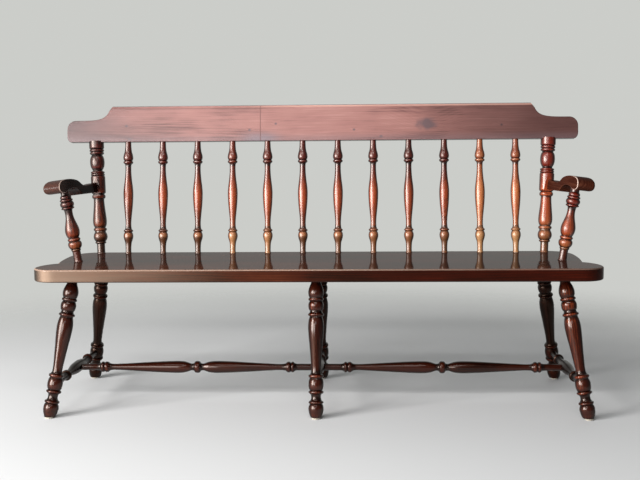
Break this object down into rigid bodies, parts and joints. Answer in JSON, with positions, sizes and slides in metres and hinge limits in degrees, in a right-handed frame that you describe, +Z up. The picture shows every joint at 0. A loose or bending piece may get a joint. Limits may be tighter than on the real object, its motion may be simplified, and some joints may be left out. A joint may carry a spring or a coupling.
{
  "type": "deacons bench",
  "caption": "Long plank-seat bench with splayed turned legs and stretchers, a spindle back under a shaped crest rail, and a rolled arm on a turned post at each end.",
  "frame": {"origin": "on the floor under the middle of the bench's bounding box", "axes": "+Z up, +X towards the bench's end that is on the right in the picture, -Y towards the front"},
  "size_m": [1.678, 0.518, 0.9238],
  "materials": {
    "seat": "dark stain, gloss varnish",
    "crest": "red-brown stain, satin varnish",
    "back_turnings": "red-brown stain, gloss varnish",
    "arms": "dark stain, gloss varnish",
    "legs": "dark stain, gloss varnish",
    "dowels": "bare wood",
    "glides": "satin"
  },
  "bodies": {
    "root": {"seat_front_board": "seat", "seat_rear_board": "seat", "leg_front_left": "legs", "glide_front_left": "glides", "leg_front_centre": "legs", "glide_front_centre": "glides", "leg_front_right": "legs", "glide_front_right": "glides", "leg_rear_left": "legs", "glide_rear_left": "glides", "leg_rear_centre": "legs", "glide_rear_centre": "glides", "leg_rear_right": "legs", "glide_rear_right": "glides", "cross_stretcher_left": "legs", "cross_stretcher_centre": "legs", "cross_stretcher_right": "legs", "long_stretcher_left": "legs", "long_stretcher_right": "legs", "crest_rail_left": "crest", "crest_rail_right": "crest", "crest_dowel_1": "dowels", "crest_dowel_2": "dowels", "spindle_01": "back_turnings", "spindle_02": "back_turnings", "spindle_03": "back_turnings", "spindle_04": "back_turnings", "spindle_05": "back_turnings", "spindle_06": "back_turnings", "spindle_07": "back_turnings", "spindle_08": "back_turnings", "spindle_09": "back_turnings", "spindle_10": "back_turnings", "spindle_11": "back_turnings", "spindle_12": "back_turnings", "back_post_left": "back_turnings", "arm_left": "arms", "arm_dowel_left": "dowels", "arm_post_left": "back_turnings", "back_post_right": "back_turnings", "arm_right": "arms", "arm_dowel_right": "dowels", "arm_post_right": "back_turnings"}
  },
  "joints": []
}
